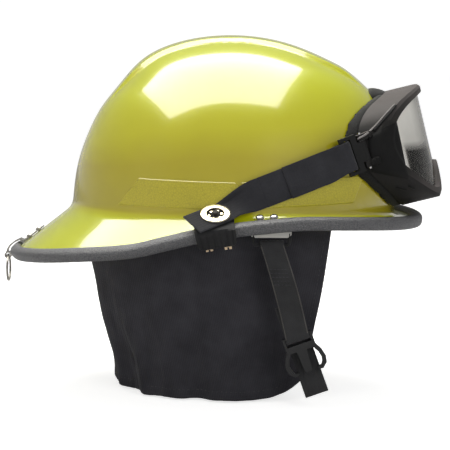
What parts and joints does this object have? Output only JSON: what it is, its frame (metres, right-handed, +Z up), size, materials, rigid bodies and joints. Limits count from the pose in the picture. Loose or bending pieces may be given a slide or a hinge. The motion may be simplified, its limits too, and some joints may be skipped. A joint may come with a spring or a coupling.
{
  "type": "firefighter helmet",
  "caption": "Brimmed lime-yellow fire helmet with inner suspension, neck curtain, chin strap, stowed goggles and a hanging ring.",
  "frame": {"origin": "on the mid-plane under the dome's centre, level with the front of the line where the dome meets the brim, at the mouth of the head cavity", "axes": "+X to the front of the helmet, +Y to the wearer's left, +Z up"},
  "size_m": [0.3709, 0.2968, 0.2955],
  "materials": {
    "shell_lime": "high gloss moulded thermoplastic",
    "trim_rubber": "fine pebble-grained dark grey edging",
    "reflective_lime": "prismatic lime-yellow reflective tape",
    "foam_liner": "expanded foam",
    "suspension_plastic": "moulded nylon",
    "brow_leather": "soft sweatband",
    "suspension_webbing": "woven webbing",
    "pad_fabric": "padded knit",
    "knob_plastic": "ribbed knob",
    "curtain_fabric": "charcoal flame-resistant twill",
    "lining_fabric": "brushed lining",
    "hook_tape": "hook-and-loop tape",
    "plate_grey": "light grey moulded bracket",
    "screw_chrome": "plated cross-head screw",
    "webbing_black": "polyester webbing",
    "buckle_plastic": "acetal buckle",
    "ring_steel": "plated steel",
    "clamp_plastic": "ribbed nylon clamp",
    "screw_brass": "brass screw",
    "strap_elastic": "heavy woven elastic",
    "grommet_brass": "bright lacquered brass",
    "stud_metal": "darkened brass",
    "goggle_rubber": "satin moulded frame",
    "lens_clear": "clear polycarbonate lens",
    "goggle_foam": "fabric-faced foam",
    "clip_plastic": "moulded strap clip"
  },
  "bodies": {
    "helmet": {"outer_shell": "shell_lime", "brim_trim": "trim_rubber", "reflective_panels": "reflective_lime", "impact_liner": "foam_liner", "headband": "suspension_plastic", "brow_pad": "brow_leather", "crown_strap_front": "suspension_webbing", "crown_strap_middle": "suspension_webbing", "crown_strap_rear": "suspension_webbing", "suspension_clips": "suspension_plastic", "crown_pad": "pad_fabric", "ratchet_housing": "suspension_plastic", "ratchet_cover": "suspension_plastic", "nape_pad": "pad_fabric", "neck_curtain": "curtain_fabric", "curtain_lining": "lining_fabric", "curtain_tape": "hook_tape", "chin_plate_right": "plate_grey", "chin_plate_left": "plate_grey", "chin_plate_screws": "screw_chrome", "chin_plate_nuts": "screw_chrome", "ring_bracket": "ring_steel", "ring_rivets": "ring_steel", "goggle_clamp_right": "clamp_plastic", "goggle_clamp_left": "clamp_plastic", "clamp_screws": "screw_brass", "strap_stud_right": "stud_metal", "strap_stud_left": "stud_metal"},
    "knob": {"ratchet_pinion": "suspension_plastic", "ratchet_knob": "knob_plastic"},
    "tail_left": {"band_tail_left": "suspension_plastic"},
    "tail_right": {"band_tail_right": "suspension_plastic"},
    "ring": {"hanging_ring": "ring_steel"},
    "chin_right": {"chin_strap_right": "webbing_black"},
    "chin_left": {"chin_strap_left": "webbing_black"},
    "buckle_right": {"buckle_male": "buckle_plastic", "chin_strap_tail": "webbing_black"},
    "buckle_left": {"buckle_female": "buckle_plastic"},
    "strap_end_right": {"strap_end_right": "strap_elastic", "grommet_right": "grommet_brass"},
    "strap_end_left": {"strap_end_left": "strap_elastic", "grommet_left": "grommet_brass"},
    "goggle_link": {"goggle_strap_right": "strap_elastic", "goggle_strap_left": "strap_elastic"},
    "goggles": {"goggle_frame": "goggle_rubber", "goggle_lens": "lens_clear", "goggle_face_foam": "goggle_foam", "clip_pins": "screw_chrome"},
    "clip_right": {"strap_clip_right": "clip_plastic"},
    "clip_left": {"strap_clip_left": "clip_plastic"}
  },
  "joints": [
    {"name": "knob_turn", "type": "hinge", "parent": "helmet", "child": "knob", "pos_m": [-0.11, 0, 0], "axis": [-1, 0, 0], "range_deg": [-160, 160]},
    {"name": "tail_left_slide", "type": "hinge", "parent": "helmet", "child": "tail_left", "pos_m": [-0.02, 0, 0], "axis": [0, 0, 1], "range_deg": [-10, 10]},
    {"name": "tail_right_slide", "type": "hinge", "parent": "helmet", "child": "tail_right", "pos_m": [-0.02, 0, 0], "axis": [0, 0, 1], "range_deg": [-10, 10]},
    {"name": "ring_swing", "type": "hinge", "parent": "helmet", "child": "ring", "pos_m": [-0.19373, 0, -0.03243], "axis": [0, 1, 0], "range_deg": [-45, 135]},
    {"name": "chin_right_swing", "type": "hinge", "parent": "helmet", "child": "chin_right", "pos_m": [0.029, -0.119, -0.01], "axis": [-1, 0, 0], "range_deg": [-5, 70]},
    {"name": "chin_left_swing", "type": "hinge", "parent": "helmet", "child": "chin_left", "pos_m": [0.029, 0.119, -0.01], "axis": [1, 0, 0], "range_deg": [-5, 70]},
    {"name": "buckle_right_pivot", "type": "hinge", "parent": "chin_right", "child": "buckle_right", "pos_m": [0.049, -0.119, -0.083], "axis": [-0.944, 0, -0.33], "range_deg": [-15, 30]},
    {"name": "buckle_left_pivot", "type": "hinge", "parent": "chin_left", "child": "buckle_left", "pos_m": [0.049, 0.119, -0.083], "axis": [0.944, 0, 0.33], "range_deg": [-15, 30]},
    {"name": "goggle_swing", "type": "hinge", "parent": "helmet", "child": "goggle_link", "pos_m": [-0.015, 0, 0.0146], "axis": [0, -1, 0], "range_deg": [-2, 12], "deforming": ["goggle_strap_right", "goggle_strap_left", "goggle_face_foam"]},
    {"name": "goggle_pull", "type": "slide", "parent": "goggle_link", "child": "goggles", "axis": [0.9563, 0, 0.2924], "range_m": [0, 0.035], "deforming": ["goggle_strap_right", "goggle_strap_left"]},
    {"name": "strap_end_right_turn", "type": "hinge", "parent": "helmet", "child": "strap_end_right", "pos_m": [-0.015, -0.1285, 0.0146], "axis": [0, -0.5, 0.866], "range_deg": [-6, 12]},
    {"name": "strap_end_left_turn", "type": "hinge", "parent": "helmet", "child": "strap_end_left", "pos_m": [-0.015, 0.1285, 0.0146], "axis": [0, 0.5, 0.866], "range_deg": [-12, 6]},
    {"name": "clip_right_pivot", "type": "hinge", "parent": "goggles", "child": "clip_right", "pos_m": [0.1035, -0.0884, 0.062], "axis": [-0.3328, -0.0363, 0.9423], "range_deg": [-2, 10]},
    {"name": "clip_left_pivot", "type": "hinge", "parent": "goggles", "child": "clip_left", "pos_m": [0.1035, 0.0884, 0.062], "axis": [0.3328, -0.0363, -0.9423], "range_deg": [-2, 10]}
  ],
  "couplings": [
    {"joint": "tail_left_slide", "follows": "knob_turn", "ratio": 0.061958},
    {"joint": "tail_right_slide", "follows": "knob_turn", "ratio": -0.060606},
    {"joint": "strap_end_right_turn", "follows": "goggle_swing", "ratio": 0.5},
    {"joint": "strap_end_left_turn", "follows": "goggle_swing", "ratio": -0.5}
  ]
}
